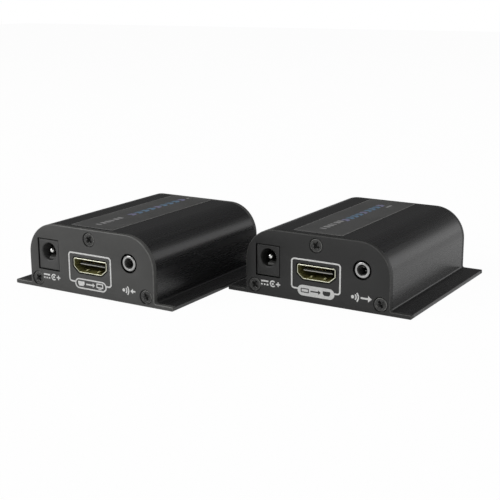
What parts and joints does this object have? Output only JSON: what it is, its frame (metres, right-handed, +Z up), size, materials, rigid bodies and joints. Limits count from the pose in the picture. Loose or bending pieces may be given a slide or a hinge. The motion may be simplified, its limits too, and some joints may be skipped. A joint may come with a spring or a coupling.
{
  "type": "video signal extender pair",
  "caption": "Sender and receiver boxes of extruded aluminium that carry video over a network cable, each with side flanges, end plates, sockets and an inner circuit board.",
  "frame": {"origin": "on the floor under the pair, at the centre of its box", "axes": "+X across the pair from the receiver to the sender, +Y from the front plates to the rear, +Z up"},
  "size_m": [0.1432, 0.0996, 0.0243],
  "materials": {
    "black_anodised": "satin black anodised, fine lengthwise grain",
    "plate_anodised": "fine matt dark grey anodised sheet, printed in white",
    "black_screw": "blackened steel",
    "label_film": "satin printed film",
    "board_laminate": "green solder mask",
    "socket_nickel": "nickel-plated pressed steel",
    "bright_nickel": "bright nickel",
    "gold_contact": "gold-plated contact",
    "spring_bronze": "plated spring bronze",
    "black_plastic": "moulded black plastic",
    "light_pipe": "milky light guide",
    "chip_resin": "moulded resin package",
    "capacitor_can": "drawn aluminium can",
    "ferrite": "pressed ferrite",
    "crystal_can": "drawn steel can"
  },
  "bodies": {
    "root": {"receiver_housing": "black_anodised", "receiver_front_plate": "plate_anodised", "receiver_rear_plate": "plate_anodised", "receiver_front_screws": "black_screw", "receiver_rear_screws": "black_screw", "receiver_top_label": "label_film", "receiver_circuit_board": "board_laminate", "receiver_video_socket_shell": "socket_nickel", "receiver_video_socket_tongue": "black_plastic", "receiver_video_socket_contacts": "gold_contact", "receiver_power_jack_body": "black_plastic", "receiver_power_jack_pin": "bright_nickel", "receiver_power_jack_spring": "spring_bronze", "receiver_infrared_jack_body": "black_plastic", "receiver_infrared_jack_barrel": "bright_nickel", "receiver_infrared_jack_springs": "spring_bronze", "receiver_network_jack_shield": "socket_nickel", "receiver_network_jack_body": "black_plastic", "receiver_network_jack_contacts": "gold_contact", "receiver_status_lights": "light_pipe", "receiver_main_chip": "chip_resin", "receiver_heat_sink": "black_anodised", "receiver_small_chips": "chip_resin", "receiver_capacitors": "capacitor_can", "receiver_power_inductor": "ferrite", "receiver_crystal": "crystal_can", "receiver_line_transformer": "chip_resin", "sender_housing": "black_anodised", "sender_front_plate": "plate_anodised", "sender_rear_plate": "plate_anodised", "sender_front_screws": "black_screw", "sender_rear_screws": "black_screw", "sender_top_label": "label_film", "sender_circuit_board": "board_laminate", "sender_video_socket_shell": "socket_nickel", "sender_video_socket_tongue": "black_plastic", "sender_video_socket_contacts": "gold_contact", "sender_power_jack_body": "black_plastic", "sender_power_jack_pin": "bright_nickel", "sender_power_jack_spring": "spring_bronze", "sender_infrared_jack_body": "black_plastic", "sender_infrared_jack_barrel": "bright_nickel", "sender_infrared_jack_springs": "spring_bronze", "sender_network_jack_shield": "socket_nickel", "sender_network_jack_body": "black_plastic", "sender_network_jack_contacts": "gold_contact", "sender_status_lights": "light_pipe", "sender_main_chip": "chip_resin", "sender_heat_sink": "black_anodised", "sender_small_chips": "chip_resin", "sender_capacitors": "capacitor_can", "sender_power_inductor": "ferrite", "sender_crystal": "crystal_can", "sender_line_transformer": "chip_resin"}
  },
  "joints": []
}
